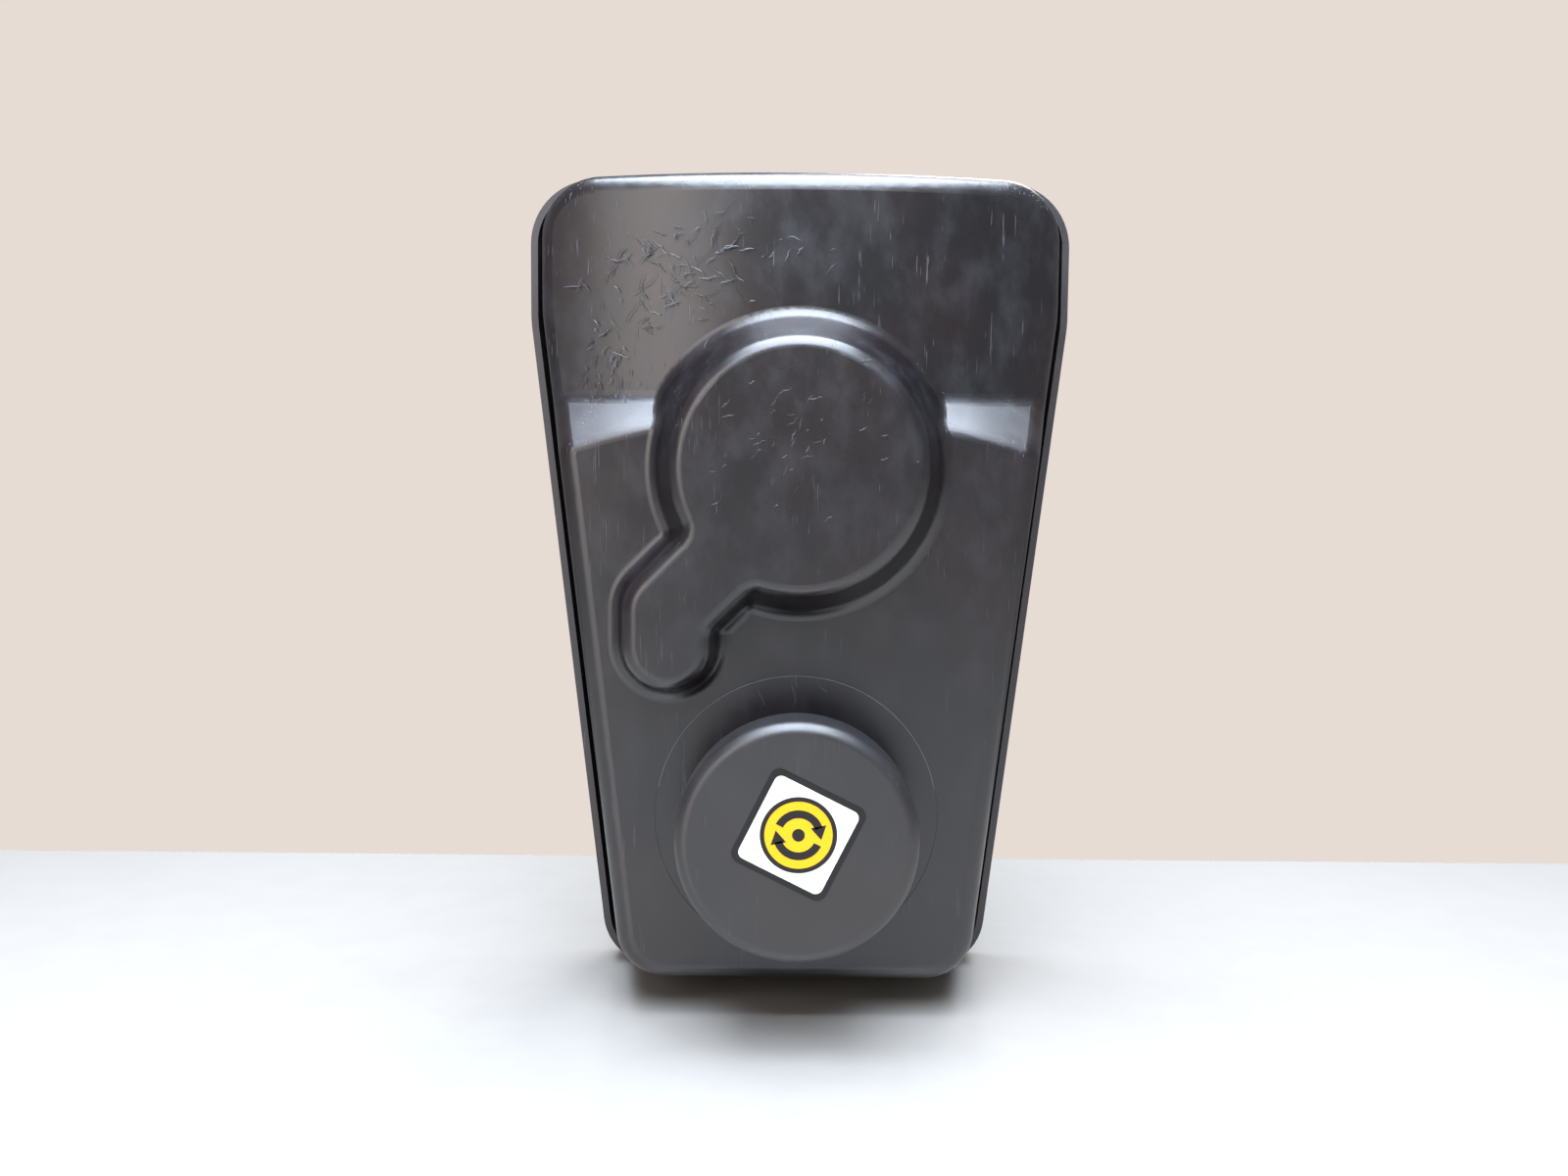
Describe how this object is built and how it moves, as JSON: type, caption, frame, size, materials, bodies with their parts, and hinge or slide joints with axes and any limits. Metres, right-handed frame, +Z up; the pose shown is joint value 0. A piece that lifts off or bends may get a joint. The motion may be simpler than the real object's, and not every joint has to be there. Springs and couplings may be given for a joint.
{
  "type": "garage door opener",
  "caption": "Side-mounted garage door opener: tapered moulded cover in a shallow tray, domed over a motor, with a round hand wheel that turns the same output collar.",
  "frame": {"origin": "on the output collar's axis, in the plane of the tray's flat back face", "axes": "+X to the right seen from the front, +Y to the back (into the wall), +Z up, along the tray's height"},
  "size_m": [0.235, 0.1423, 0.35],
  "materials": {
    "casing_black": "textured moulding",
    "tray_black": "satin moulding",
    "wheel_black": "fine texture",
    "label_vinyl": "printed vinyl",
    "rubber_black": "moulded",
    "zinc_plate": "zinc plated",
    "screw_steel": "zinc plated",
    "bright_steel": "turned",
    "gear_steel": "hobbed and oiled",
    "bronze": "sintered bronze",
    "gear_nylon": "natural nylon",
    "motor_cast": "die cast",
    "motor_paint": "baked paint",
    "lamination": "stacked sheet",
    "copper": "enamelled wire",
    "capacitor_can": "smooth",
    "board_green": "solder mask",
    "black_nylon": "moulded",
    "relay_blue": "moulded",
    "terminal_green": "moulded",
    "fuse_glass": "clear",
    "button_red": "moulded",
    "lamp_lens": "clear moulding",
    "lead_brown": "extruded insulation"
  },
  "bodies": {
    "casing": {"back_tray": "tray_black", "front_cover": "casing_black", "neck_bush": "black_nylon", "cover_screws": "screw_steel", "cable_grommet": "rubber_black", "chassis_plate": "zinc_plate", "chassis_screws": "screw_steel", "gear_plate": "zinc_plate", "pillars": "bright_steel", "pillar_screws": "screw_steel", "collar_bushes": "bronze", "shaft_bushes": "bronze", "encoder_sensor": "black_nylon", "rear_bell": "motor_cast", "motor_can": "motor_paint", "front_bell": "motor_cast", "motor_screws": "screw_steel", "motor_bearings": "bright_steel", "stator_core": "lamination", "stator_windings": "copper", "capacitor": "capacitor_can", "capacitor_clamp": "zinc_plate", "clamp_screws": "screw_steel", "capacitor_leads": "lead_brown", "circuit_board": "board_green", "board_spacers": "bright_steel", "board_screws": "screw_steel", "transformer": "lamination", "relays": "relay_blue", "terminal_block": "terminal_green", "fuse": "fuse_glass", "learn_switch": "black_nylon", "status_lamp": "lamp_lens"},
    "output": {"output_collar": "bright_steel", "output_gear": "gear_steel", "output_key": "bright_steel", "set_screws": "screw_steel", "collar_clip": "screw_steel"},
    "hand": {"hand_shaft": "bright_steel", "hand_gear": "gear_steel", "hand_pin": "bright_steel", "hand_clip": "screw_steel", "encoder_disc": "black_nylon", "hand_wheel": "wheel_black", "wheel_neck": "wheel_black", "wheel_screw": "screw_steel", "wheel_cap": "wheel_black", "wheel_label": "label_vinyl"},
    "idler": {"idler_shaft": "bright_steel", "idler_pinion": "gear_steel", "idler_wheel": "gear_nylon"},
    "rotor": {"motor_shaft": "bright_steel", "rotor_core": "lamination", "motor_pinion": "gear_steel"},
    "button": {"learn_button": "button_red"}
  },
  "joints": [
    {"name": "motor_spin", "type": "hinge", "parent": "casing", "child": "rotor", "pos_m": [0, -0.05, 0.0705], "axis": [0, -1, 0], "continuous": true},
    {"name": "idler_spin", "type": "hinge", "parent": "casing", "child": "idler", "pos_m": [0.03401, -0.015, 0.0476], "axis": [0, -1, 0], "continuous": true},
    {"name": "output_spin", "type": "hinge", "parent": "casing", "child": "output", "pos_m": [0, -0.01, 0], "axis": [0, -1, 0], "continuous": true},
    {"name": "hand_wheel_spin", "type": "hinge", "parent": "casing", "child": "hand", "pos_m": [0, -0.06, -0.0705], "axis": [0, -1, 0], "continuous": true},
    {"name": "learn_button_press", "type": "slide", "parent": "casing", "child": "button", "axis": [0, 1, 0], "range_m": [0, 0.0008], "stiffness_N_per_m": 400}
  ],
  "couplings": [
    {"joint": "idler_spin", "follows": "motor_spin", "ratio": -0.17143},
    {"joint": "output_spin", "follows": "motor_spin", "ratio": 0.0375},
    {"joint": "hand_wheel_spin", "follows": "motor_spin", "ratio": -0.08}
  ]
}
